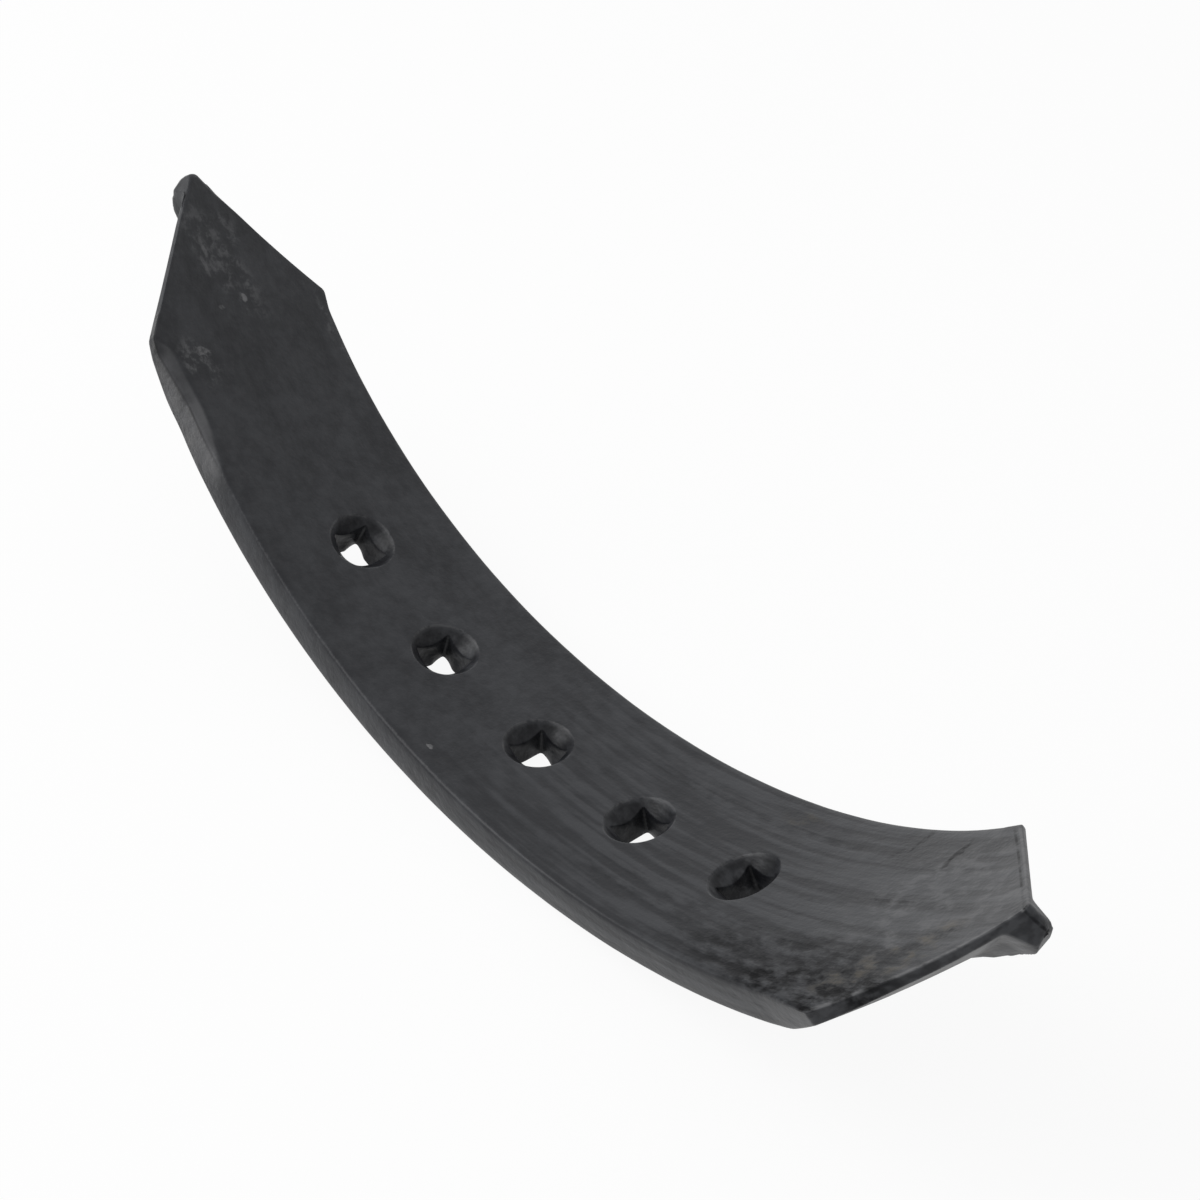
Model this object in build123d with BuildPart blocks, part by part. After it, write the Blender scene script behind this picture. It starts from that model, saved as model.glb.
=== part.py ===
from build123d import *
import os
from math import atan2, cos, degrees, hypot, pi, radians, sin, tan

# Reversible twisted chisel plow point: one bar of flat steel, forged to a V point at both
# ends, punched with a row of square-necked bolt holes and rolled along a helix, so that it
# bends and twists together.  Either end can lead.
#
# Frame: the bar lies on its convex back.  X runs along the bar at the middle hole, Y across
# it, Z up, and the origin is on the back at the middle hole.

# Driving dimensions, mm and degrees
bar_width = 80.0
bar_thickness = 14.0
length_over_points = 541.0    # along the middle of the front face, point to point
bend_radius = 289.0           # of the front face, along the bar
twist_per_metre = 80.5        # degrees, right-handed
corner_break = 1.2            # broken corners of the rolled flat bar

point_length = 58.0           # each V end, from its shoulders to the corner of the V
tip_radius = 3.6              # rounds that corner, seen from the front
flare = 2.4                   # how far forging spreads each shoulder sideways
flare_length = 18.0
edge_land = 3.8               # thickness left along the V edges
bevel_angle = 26.0            # thinned back behind the V edges, from the face
bevel_length = 13.5           # its straight part, inwards from the V edge
bevel_blend = 24.0            # radius that leads it towards the back
bevel_runout = 8.0            # slope, in degrees, at which it meets the back

rib_crest = 5.0               # rib left at full thickness down the middle of each end
rib_lean = 17.0               # its flanks, in degrees from upright
nose_height = 8.5             # where the slope of the rib's crest would meet the tip
nose_angle = 26.0             # that slope
nose_radius = 3.0             # rounds the nose, seen from the side

hole_count = 5
hole_pitch = 56.3
square_size = 14.5            # across the flats
square_corner = 0.8
head_diameter = 25.0          # mouth of the countersink
head_angle = 90.0

tool_margin = 10.0            # how far cutting tools reach past the work

# The helix that the middle line of the front face follows
curvature = 1 / bend_radius
torsion = radians(twist_per_metre) / 1000
turn_rate = hypot(curvature, torsion)          # radians about the helix axis per mm
lean = torsion / turn_rate                     # cosine between the bar and that axis
helix_radius = curvature / turn_rate ** 2
helix_pitch = 2 * pi * lean / turn_rate
axis_direction = Vector(torsion, -curvature, 0) / turn_rate
axis_height = bar_thickness + helix_radius
hollow_radius = helix_radius / lean ** 2       # of the front face, across the bar
crown_radius = (helix_radius + bar_thickness) / lean ** 2    # of the back, across the bar

# Stations along the bar, from the middle hole, and widths at them
shoulder_width = bar_width + 2 * flare
half_point_angle = atan2(shoulder_width / 2, point_length)
nose_station = length_over_points / 2
tip_station = nose_station + tip_radius * (1 / sin(half_point_angle) - 1)
shoulder_station = tip_station - point_length
flare_station = shoulder_station - flare_length
rod_end = tip_station + tool_margin


def turned(direction, station):
    """A direction at the middle hole, carried along the helix to a station."""
    return direction.rotate(Axis((0, 0, 0), axis_direction), degrees(turn_rate * station))


def on_bar(station, across=0.0, depth=0.0):
    """Point at a station, this far across the bar and this far below its front face."""
    centre = Vector(0, 0, axis_height) + axis_direction * (lean * station)
    return centre + turned(Vector(0, across, -helix_radius - depth), station)


def section_plane(station):
    """Plane square to the bar: x across it, y out of the front face, z along it."""
    return Plane(on_bar(station), x_dir=turned(Vector(0, 1, 0), station),
                 z_dir=turned(Vector(1, 0, 0), station))


def face_plane(station, depth=0.0):
    """Plane in the front face, or this deep: x along the bar, y across it, z out."""
    return Plane(on_bar(station, depth=depth), x_dir=turned(Vector(1, 0, 0), station),
                 z_dir=turned(Vector(0, 0, 1), station))


def bar_line(first, last):
    """Middle line of the front face between two stations."""
    foot = Vector(0, 0, axis_height) + axis_direction * (lean * first)
    start = Plane(foot, x_dir=on_bar(first) - foot, z_dir=axis_direction)
    with BuildLine() as coil:
        Helix(pitch=helix_pitch, height=lean * (last - first), radius=helix_radius)
    return start.from_local_coords(coil.line)


def bar_section(width, station):
    """Flat-bar section with broken corners, hollow in front and crowned at the back."""
    front_rise = width ** 2 / (8 * hollow_radius)
    back_rise = width ** 2 / (8 * crown_radius) - bar_thickness
    with BuildSketch() as section:
        with BuildLine():
            front = ThreePointArc((width / 2, front_rise), (0, 0), (-width / 2, front_rise))
            side = Line(front @ 1, (-width / 2, back_rise))
            back = ThreePointArc(side @ 1, (0, -bar_thickness), (width / 2, back_rise))
            Line(back @ 1, front @ 0)
        make_face()
        chamfer(section.vertices(), corner_break)
    return section_plane(station).from_local_coords(section.sketch)


# Bar before its ends are cut: five lengths that meet face to face, wider past the flares
with BuildPart() as rolled_bar:
    lengths = [
        (-rod_end, -shoulder_station, shoulder_width, shoulder_width),
        (-shoulder_station, -flare_station, shoulder_width, bar_width),
        (-flare_station, flare_station, bar_width, bar_width),
        (flare_station, shoulder_station, bar_width, shoulder_width),
        (shoulder_station, rod_end, shoulder_width, shoulder_width),
    ]
    for first, last, first_width, last_width in lengths:
        sections = [bar_section(first_width, first), bar_section(last_width, last)]
        sweep(sections=sections, path=bar_line(first, last), multisection=True,
              is_frenet=True)

# Rib that the bevels leave standing on the back
with BuildPart() as rib:
    foot_station = tip_station - 2 * point_length
    crest_cover = tool_margin / 2
    half_crest = rib_crest / 2 - crest_cover * tan(radians(rib_lean))
    half_foot = rib_crest / 2 + bar_thickness * tan(radians(rib_lean))
    with BuildSketch(section_plane(foot_station)):
        with BuildLine():
            Polyline((-half_foot, 0), (half_foot, 0), (half_crest, -bar_thickness - crest_cover),
                     (-half_crest, -bar_thickness - crest_cover), close=True)
        make_face()
    sweep(path=bar_line(foot_station, rod_end), is_frenet=True)

# Waste of one end: what lies outside the V, and what the bevels and the nose take away
end_plane = face_plane((shoulder_station + tip_station) / 2)
tip = end_plane.to_local_coords(on_bar(tip_station))
shoulders = [end_plane.to_local_coords(on_bar(shoulder_station, side * shoulder_width / 2))
             for side in (-1, 1)]
waste_floor = -2 * bar_thickness - tool_margin

with BuildPart() as bevels:
    for side in (-1, 1):
        low_shoulder = on_bar(shoulder_station, side * shoulder_width / 2, edge_land)
        low_tip = on_bar(tip_station, 0, edge_land)
        along = (low_tip - low_shoulder) * -side
        inward = end_plane.z_dir.cross(along)
        slope = tan(radians(bevel_angle))
        with BuildSketch(Plane((low_shoulder + low_tip) / 2, x_dir=inward, z_dir=along)):
            with BuildLine():
                face = Line((-tool_margin, tool_margin * slope),
                            (bevel_length, -bevel_length * slope))
                blend = JernArc(face @ 1, face % 1, bevel_blend, bevel_angle - bevel_runout)
                runout = Line(blend @ 1, blend @ 1 + (blend % 1) * bar_width)
                Polyline(runout @ 1, ((runout @ 1).X, waste_floor), (-tool_margin, waste_floor),
                         face @ 0)
            make_face()
        extrude(amount=bar_width, both=True)
    add(rib.part, mode=Mode.SUBTRACT)

with BuildPart() as end_waste:
    # what lies outside the V, whose sides run through the shoulders
    with BuildSketch(end_plane.offset(-2 * bar_thickness)):
        with Locations((tip.X, 0)):
            Rectangle(2 * (point_length + tool_margin), 2 * bar_width)
        reach = (point_length + 2 * tool_margin) / point_length
        near_end, far_end = [tip + (shoulder - tip) * reach for shoulder in shoulders]
        with BuildLine():
            edges = FilletPolyline((near_end.X, near_end.Y), (tip.X, tip.Y),
                                   (far_end.X, far_end.Y), radius=tip_radius)
            Line(edges @ 1, edges @ 0)
        v_shape = make_face(mode=Mode.PRIVATE)
        add(v_shape, mode=Mode.SUBTRACT)
    extrude(amount=3 * bar_thickness)
    add(bevels.part)
    # the nose: slope of the rib's crest, rounded into the tip
    nose = face_plane(nose_station)
    with BuildSketch(Plane(nose.origin, x_dir=nose.x_dir, z_dir=-nose.y_dir)):
        with BuildLine():
            fall = nose_radius * (1 - sin(radians(nose_angle))) / cos(radians(nose_angle))
            ledge = Line((tool_margin, fall - nose_height), (0, fall - nose_height))
            tip_round = JernArc(ledge @ 1, (0, -1), nose_radius, nose_angle - 90)
            crest_reach = ((tip_round @ 1).Y - waste_floor) / sin(radians(nose_angle))
            crest = Line(tip_round @ 1, tip_round @ 1 + (tip_round % 1) * crest_reach)
            Polyline(crest @ 1, (tool_margin, waste_floor), ledge @ 0)
        make_face()
    extrude(amount=bar_width / 2, both=True)

# The finished point: both ends are the same, turned about the middle hole
with BuildPart() as plow_point:
    add(rolled_bar.part)
    add(end_waste.part, mode=Mode.SUBTRACT)
    add(end_waste.part, rotation=(0, 0, 180), mode=Mode.SUBTRACT)

    # square-necked bolt holes, sunk from the hollow side
    stations = [(index - (hole_count - 1) / 2) * hole_pitch for index in range(hole_count)]
    mouth_rise = curvature * head_diameter ** 2 / 8
    for station in stations:
        with Locations(face_plane(station, -mouth_rise)):
            CounterSinkHole(square_size / 4, head_diameter / 2, counter_sink_angle=head_angle)
        with BuildSketch(face_plane(station)):
            RectangleRounded(square_size, square_size, square_corner)
        extrude(amount=-(bar_thickness + tool_margin), mode=Mode.SUBTRACT)

os.makedirs("parts", exist_ok=True)
plow_point.part.label = "plow_point"
export_step(plow_point.part, "parts/plow_point.step")
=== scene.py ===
from math import atan2, cos, pi, radians, sin, tan

import bmesh
import bpy
import numpy as np
from bpy.props import FloatProperty, FloatVectorProperty, IntProperty, PointerProperty
from bpy.types import Operator, Panel, PropertyGroup
from mathutils import Matrix, Vector


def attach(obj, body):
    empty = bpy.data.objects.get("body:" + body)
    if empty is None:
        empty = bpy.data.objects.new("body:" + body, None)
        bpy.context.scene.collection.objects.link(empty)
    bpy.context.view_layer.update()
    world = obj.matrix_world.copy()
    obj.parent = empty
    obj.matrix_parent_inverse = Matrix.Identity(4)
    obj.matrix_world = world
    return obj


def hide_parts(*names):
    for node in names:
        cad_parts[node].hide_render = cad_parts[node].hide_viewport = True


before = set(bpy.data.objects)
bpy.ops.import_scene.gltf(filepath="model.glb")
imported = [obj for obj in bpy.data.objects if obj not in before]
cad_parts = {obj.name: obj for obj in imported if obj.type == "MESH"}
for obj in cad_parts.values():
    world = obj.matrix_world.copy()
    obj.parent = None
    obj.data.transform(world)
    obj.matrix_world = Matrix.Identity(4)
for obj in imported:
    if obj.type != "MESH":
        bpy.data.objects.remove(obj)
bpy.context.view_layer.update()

bl_info = {
    "name": "Twisted chisel plow point",
    "version": (1, 0, 0),
    "blender": (4, 5, 0),
    "location": "3D View > Sidebar > Plow point",
    "description": "A forged flat bar with a V point at both ends, rolled along a helix",
    "category": "Object",
}

NODE = "plow_point"
BODY = "root"
FRAME_SIZE = 1200             # pixels along each side of the photograph


# Sizes and colours that a user would change

def metres(name, description, default):
    return FloatProperty(name=name, description=description, default=default, unit="LENGTH")


def degrees(name, description, default):
    """An angle, given here in degrees and kept in radians."""
    return FloatProperty(name=name, description=description, default=radians(default),
                         unit="ROTATION")


def tint(name, description, default):
    return FloatVectorProperty(name=name, description=description, default=default,
                               subtype="COLOR")


class BarSizes(PropertyGroup):
    """The flat bar and how it is rolled."""
    width: metres("Width", "Across the flat bar", 0.080)
    thickness: metres("Thickness", "Of the flat bar", 0.014)
    bend_radius: metres("Bend radius", "Of the front face, along the bar", 0.289)
    twist_per_metre: degrees("Twist per metre", "Right-handed, along the bar", 80.5)
    arris_radius: metres("Arris radius", "Of the bar's rolled corners", 0.0015)
    edge_bulge: metres("Edge bulge", "How far the long sides stand out", 0.0003)
    relief: metres("Relief", "Depth of the forged surface's unevenness", 0.00025)


class HoleSizes(PropertyGroup):
    """The row of bolt holes."""
    count: IntProperty(name="Holes", description="Bolt holes in the row", default=5)
    pitch: metres("Hole pitch", "Between bolt holes", 0.0563)
    square: metres("Square neck", "Across its flats, in front", 0.0145)
    pinch: metres("Pinch", "How far the neck's far wall leans in at the back", 0.0016)
    left_pinch: metres("Left pinch", "How far the left holes' left walls lean in", 0.0021)
    corner: metres("Square corner", "Radius of the neck's corners", 0.0009)
    head: metres("Head seat", "Mouth of the countersink", 0.025)
    lip: metres("Lip radius", "Roundness of the countersink's mouth", 0.0010)


class EndSizes(PropertyGroup):
    """One V end, as its own forging blows left it."""
    reach: metres("Tip station", "Corner of the V from the middle hole", 0.27015)
    offset: metres("Tip offset", "Of the tip towards the far side", 0.00019)
    near_station: metres("Near shoulder", "Its station", 0.20042)
    near_half: metres("Near half width", "At the near shoulder", 0.04313)
    far_station: metres("Far shoulder", "Its station", 0.21447)
    far_half: metres("Far half width", "At the far shoulder", 0.04032)
    near_land: metres("Near land", "V edge thickness at the near shoulder", 0.0050)
    far_land: metres("Far land", "V edge thickness at the far shoulder", 0.00259)
    near_flare: metres("Near flare", "Its length before the near shoulder", 0.02994)
    far_flare: metres("Far flare", "Its length before the far shoulder", 0.00916)
    near_bulge: metres("Near bulge", "Of the near V edge, seen from the front", -0.00095)
    far_bulge: metres("Far bulge", "Of the far V edge, seen from the front", -0.00217)
    near_sink: metres("Near sink", "How far the near shoulder is beaten back", -0.00066)
    far_sink: metres("Far sink", "How far the far shoulder is beaten back", -0.00053)
    near_lift: metres("Near lift", "Middle of the near V edge, towards the front", 0.00118)
    far_lift: metres("Far lift", "Middle of the far V edge, towards the front", -0.00039)
    far_ear: metres("Far ear", "Burr that stands out at the far shoulder", 0.0006)
    nose_height: metres("Nose height", "Thickness at the tip", 0.00699)
    droop: metres("Droop", "How far the tip is beaten back", 0.00160)
    corner_wear: metres("Corner wear", "Breadth of the worn near arris", 0.0)


class PointSizes(PropertyGroup):
    """What both V ends share."""
    shoulder_radius: metres("Shoulder radius", "Seen from the front", 0.0025)
    tip_radius: metres("Tip radius", "Seen from the front", 0.00323)
    tip_land: metres("Tip land", "V edge thickness next to the tip", 0.00285)
    arris_radius: metres("V arris", "Roundness of the V edges", 0.0006)
    bevel_angle: degrees("Bevel angle", "Of the thinned back", 26.3)
    bevel_length: metres("Bevel length", "Straight part, inwards from the V", 0.0126)
    bevel_blend: metres("Bevel blend", "Radius that leads it to the back", 0.02606)
    bevel_runout: degrees("Bevel run-out", "Slope at which it meets the back", 8.0)
    rib_crest: metres("Rib crest", "Flat of the rib behind the tip", 0.00508)
    rib_lean: degrees("Rib lean", "Of its flanks, from upright", 13.3)
    rib_round: metres("Rib rounding", "Where rib and bevel meet", 0.0035)
    nose_angle: degrees("Nose angle", "Slope of the crest down to the tip", 30.1)
    nose_spread: metres("Nose spread", "How far the rib widens at its near side", 0.0011)
    nose_radius: metres("Nose radius", "Seen from the side", 0.00392)


class SteelFinish(PropertyGroup):
    """Colours and sheen of the forged steel."""
    scale_dark: tint("Dark scale", "Colour of the tight forge scale", (0.0101, 0.0108, 0.0134))
    scale_light: tint("Light scale", "Colour of its paler streaks", (0.0315, 0.0330, 0.0370))
    # the stain colour also paints shade at the right end's near corner, along its V edges and inside
    # the holes
    stain_and_shade: tint("Stain", "Colour of nicks and dark streaks", (0.004, 0.004, 0.0045))
    # the worn colour also paints highlights along the right end's V edges and round the hole rims
    worn: tint("Worn steel", "Colour of rubbed arrises and scuffs", (0.16, 0.16, 0.165))
    crust: tint("Crust", "Colour of the rough cut side", (0.060, 0.060, 0.060))
    rust: tint("Rust", "Colour of its faint brown bloom", (0.045, 0.036, 0.022))
    roughness: FloatProperty(name="Roughness", description="Of the forge scale", default=0.40,
                             min=0.0, max=1.0)
    specular: FloatProperty(name="Specular", description="Sheen of the forge scale", default=0.25,
                            min=0.0, max=1.0)


class StageSizes(PropertyGroup):
    """Floor, light and camera."""
    floor_size: metres("Floor", "Side of the floor", 12.0)
    softbox_size: metres("Softbox", "Side of the overhead softbox", 1.4)
    world_light: FloatProperty(name="Room light", description="Strength of the room's light",
                               default=0.55)
    softbox_power: FloatProperty(name="Softbox power", description="In watts", default=20.0)
    focal_pixels: FloatProperty(name="Focal length", description="In pixels of the photograph",
                                default=2608.8)


# Plan of the bar: stations run along it from the middle hole, and the far side is positive

ROW = 0.0012                  # wanted spacing of the mesh along the bar
COLUMNS = 50                  # quads across each face
BAND = 12                     # quads down each side
ARRIS_STEPS = 3               # of them on each of its two rounded arrises
PATCH_ROWS = 14               # rows of the face given to a hole, each way from its middle
PATCH_COLUMNS = 11            # columns given to it, each way
SHOULDER_ROWS = 62            # rows between the holes and the shoulders
SHOULDER_CROWD = 0.2          # how much they crowd towards the shoulder
POINT_ROWS = 78               # rows from the shoulders to the tip
POINT_CROWD = 0.35            # how much they crowd towards the tip
EAR_REACH = 0.0022            # how far along the side the burr at a shoulder spreads


def rounded(corners, radii, step=0.0002):
    """Dense polyline through rounded corners, and the index of the middle of each one's arc."""
    points = []
    middles = []
    for i, corner in enumerate(corners):
        if radii[i] == 0:
            points.append(corner)
            middles.append(len(points) - 1)
            continue
        back = corners[i - 1] - corner
        ahead = corners[i + 1] - corner
        back /= np.linalg.norm(back)
        ahead /= np.linalg.norm(ahead)
        half = np.arccos(np.clip(back @ ahead, -1, 1)) / 2
        centre_way = (back + ahead) / np.linalg.norm(back + ahead)
        centre = corner + centre_way * radii[i] / np.sin(half)
        start = corner + back * radii[i] / np.tan(half) - centre
        sweep = pi - 2 * half
        turn = np.sign(back[0] * ahead[1] - back[1] * ahead[0])
        count = max(6, 2 * int(radii[i] * sweep / step / 2))
        angles = -turn * np.linspace(0, sweep, count + 1)
        arc = np.c_[np.cos(angles) * start[0] - np.sin(angles) * start[1],
                    np.sin(angles) * start[0] + np.cos(angles) * start[1]] + centre
        middles.append(len(points) + count // 2)
        points.extend(arc)
    return np.array(points), middles


def end_outline(bar, point, end, middle_reach):
    """Plan of one end seen with its tip to +x: near side out to the tip, and back on the far side."""
    half = bar.width / 2
    corners = np.array([
        (middle_reach, -half),
        (end.near_station - end.near_flare, -half),
        (end.near_station, -end.near_half),
        (end.reach, end.offset),
        (end.far_station, end.far_half),
        (end.far_station - end.far_flare, half),
        (middle_reach, half),
    ])
    radii = [0, end.near_flare * 2, point.shoulder_radius, point.tip_radius,
             point.shoulder_radius, end.far_flare * 2, 0]
    outline, middles = rounded(corners, radii)
    far_part = 0.03
    away = (outline[:, 0] - end.far_station) / EAR_REACH
    outline[:, 1] += np.where(outline[:, 1] > far_part, end.far_ear * np.exp(-away ** 2), 0)
    for first, last, bulge in ((middles[2], middles[3], end.near_bulge),
                               (middles[3], middles[4], end.far_bulge)):
        edge = outline[first:last + 1]
        steps = np.linalg.norm(np.diff(edge, axis=0), axis=1)
        share = np.r_[0, np.cumsum(steps)] / steps.sum()
        chord = edge[-1] - edge[0]
        outward = np.array((chord[1], -chord[0])) / np.linalg.norm(chord)
        outline[first:last + 1] += outward * (bulge * 4 * share * (1 - share))[:, None]
    return outline, middles


def resample(path, count, crowd):
    """Points along a polyline that crowd towards its end, and its direction at each."""
    lengths = np.r_[0, np.cumsum(np.linalg.norm(np.diff(path, axis=0), axis=1))]

    def at(distance):
        distance = np.clip(distance, 0, lengths[-1])
        return np.c_[np.interp(distance, lengths, path[:, 0]),
                     np.interp(distance, lengths, path[:, 1])]

    u = np.linspace(0, 1, count + 1)
    u = (1 - crowd) * u + crowd * (1 - (1 - u) ** 2)
    where = u * lengths[-1]
    reach = 0.0003
    way = at(where + reach) - at(where - reach)
    return at(where), way / np.linalg.norm(way, axis=1)[:, None]


def side_rows(outline, middles, far):
    """One side of an end from the holes to its tip, with the inward normal at each point."""
    path = outline[::-1] if far else outline
    last = len(outline) - 1
    shoulder, tip = (last - middles[4], last - middles[3]) if far else (middles[2], middles[3])
    run, run_way = resample(path[:shoulder + 1], SHOULDER_ROWS, SHOULDER_CROWD)
    edge, edge_way = resample(path[shoulder:tip + 1], POINT_ROWS, POINT_CROWD)
    points = np.r_[run[:-1], edge]
    way = np.r_[run_way[:-1], edge_way]
    # at the shoulder the direction is halfway between those of the two runs
    way[len(run) - 1] = run_way[-1] + edge_way[0]
    normals = np.c_[-way[:, 1], way[:, 0]] * (-1 if far else 1)
    normals /= np.linalg.norm(normals, axis=1)[:, None]
    normals[-1] = (-1, 0)
    return points, normals


def plan_rows(bar, point, holes, ends):
    """Matched points on the near and far sides, from the left tip to the right one."""
    row = holes.pitch / round(holes.pitch / ROW)
    middle_rows = round((holes.count - 1) / 2 * holes.pitch / row) + PATCH_ROWS + 3
    stations = np.arange(-middle_rows, middle_rows + 1) * row
    half = bar.width / 2
    near = [np.c_[stations, np.full(len(stations), -half)]]
    far = [np.c_[stations, np.full(len(stations), half)]]
    near_in = [np.tile((0.0, 1.0), (len(stations), 1))]
    far_in = [np.tile((0.0, -1.0), (len(stations), 1))]
    for side, end in ((1, ends[0]), (-1, ends[1])):
        outline, middles = end_outline(bar, point, end, stations[-1])
        for is_far, points, normals in ((False, near, near_in), (True, far, far_in)):
            place, inward = side_rows(outline, middles, is_far)
            place = place[1:] * (side, 1)
            inward = inward[1:] * (side, 1)
            if side > 0:
                points.append(place)
                normals.append(inward)
            else:
                points.insert(0, place[::-1])
                normals.insert(0, inward[::-1])
    first_middle = SHOULDER_ROWS + POINT_ROWS
    return [np.concatenate(a) for a in (near, near_in, far, far_in)], first_middle, middle_rows, row


# Thickness of the bar and of its bevelled ends

LAND_FALL = 1.5               # above 1, the V edges thin faster near the shoulders than at the tip
CREST_SMOOTH = 0.0008         # keeps the rib's crest free of a crease along its middle
SPREAD_START = 0.022          # how far behind the tip the rib starts to widen
SPREAD_RUN = 0.012            # length over which it does
CREST_BLEND = 0.002           # softness where the crest turns down to the nose
BACK_BLEND = 0.0012           # softness where the end runs out into the back
BACK_ALLOWANCE = 0.0002       # makes up for what that softness takes off the back
END_START = 0.06              # the V ends change nothing nearer to the middle hole than this


def soft_min(a, b, blend):
    """The smaller of two values, with a rounded change from one to the other."""
    h = np.clip(0.5 + 0.5 * (b - a) / blend, 0, 1)
    return b * (1 - h) + a * h - blend * h * (1 - h)


def soft_max(a, b, blend):
    return -soft_min(-a, -b, blend)


def bevel_depth(inset, land, point, angle):
    """Depth of the bevelled back this far inside a V edge: slope, hollow blend and run-out."""
    flat = point.bevel_length
    blend = point.bevel_blend
    slope = tan(angle)
    out_slope = tan(point.bevel_runout)
    blend_end = flat + blend * (sin(angle) - sin(point.bevel_runout))
    end_depth = flat * slope + blend * (cos(point.bevel_runout) - cos(angle))
    turned = np.arcsin(np.clip(sin(angle) - (inset - flat) / blend, -1, 1))
    on_blend = flat * slope + blend * (np.cos(turned) - cos(angle))
    on_runout = end_depth + (inset - blend_end) * out_slope
    depth = np.where(inset < flat, inset * slope, np.where(inset < blend_end, on_blend, on_runout))
    return depth + land


def thickness(along, across, bar, point, ends):
    """Depth of the back below the front face at points of the plan."""
    depth = np.full(np.shape(along), bar.thickness)
    for side, end in ((1, ends[0]), (-1, ends[1])):
        x = side * along
        bevel = np.full(np.shape(along), 1.0)
        shoulders = ((-1, end.near_station, end.near_half, end.near_land, end.near_bulge),
                     (1, end.far_station, end.far_half, end.far_land, end.far_bulge))
        for hand, station, half, land, bulge in shoulders:
            way = np.array((end.reach - station, end.offset - hand * half))
            length = np.linalg.norm(way)
            way /= length
            inset = -hand * (way[0] * (across - end.offset) - way[1] * (x - end.reach))
            share = ((end.reach - x) * way[0] + (end.offset - across) * way[1]) / length
            inset = inset + bulge * 4 * np.clip(share * (1 - share), 0, 1)
            fall = np.clip(share, 0, 1.2) ** LAND_FALL
            land_here = point.tip_land + (land - point.tip_land) * fall
            bevel = np.minimum(bevel, bevel_depth(inset, land_here, point, point.bevel_angle))
        middle = end.offset * np.clip((x - end.near_station) / (end.reach - end.near_station), 0, 1)
        rib_side = np.sqrt((across - middle) ** 2 + CREST_SMOOTH ** 2)
        spread = point.nose_spread * eased((x - end.reach + SPREAD_START) / SPREAD_RUN)
        rib_side = rib_side - spread * eased((middle - across + 0.0005) / 0.002)
        rib = bar.thickness - np.maximum(rib_side - point.rib_crest / 2, 0) / tan(point.rib_lean)
        nose = end.nose_height + (end.reach - x) * tan(point.nose_angle)
        rib = soft_min(rib, nose, CREST_BLEND)
        end_depth = soft_max(bevel, rib, point.rib_round)
        back = np.full_like(end_depth, bar.thickness + BACK_ALLOWANCE)
        end_depth = soft_min(end_depth, back, BACK_BLEND)
        depth = np.where(x > END_START, np.minimum(depth, end_depth), depth)
    return depth


# The blank: the bar as it lies before it is rolled, its front face up at z = 0

SHARPEN_RUN = 0.04            # length over which the arrises get sharper, round the shoulders
WORN_ARRIS = 0.0008           # how much rounder a worn arris is
TIP_SOFTNESS = (0.0003, 0.0013)  # how much rounder the arrises get at the right and left tips
TIP_RUN = 0.022               # how far behind the tip they start to
NOSE_RUN = 0.0065             # how far behind the tip the lower arris starts to turn into the nose
TIP_SHARE = 0.85              # of the tip's radius that the lower arris may take inwards
FACE_RINGS = 5                # rings of each face between a hole and the edge of its patch
LIP_RINGS = 4                 # rings on the countersink's rounded mouth, and on its cone
NECK_RINGS = 7                # rings down the square neck
BACK_LIP_RINGS = 3            # rings on the neck's rounded edge at the back
MERGE_DISTANCE = 1e-6


def eased(value):
    """0 below 0 and 1 above 1, smooth between them."""
    value = np.clip(value, 0, 1)
    return value * value * (3 - 2 * value)


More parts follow.
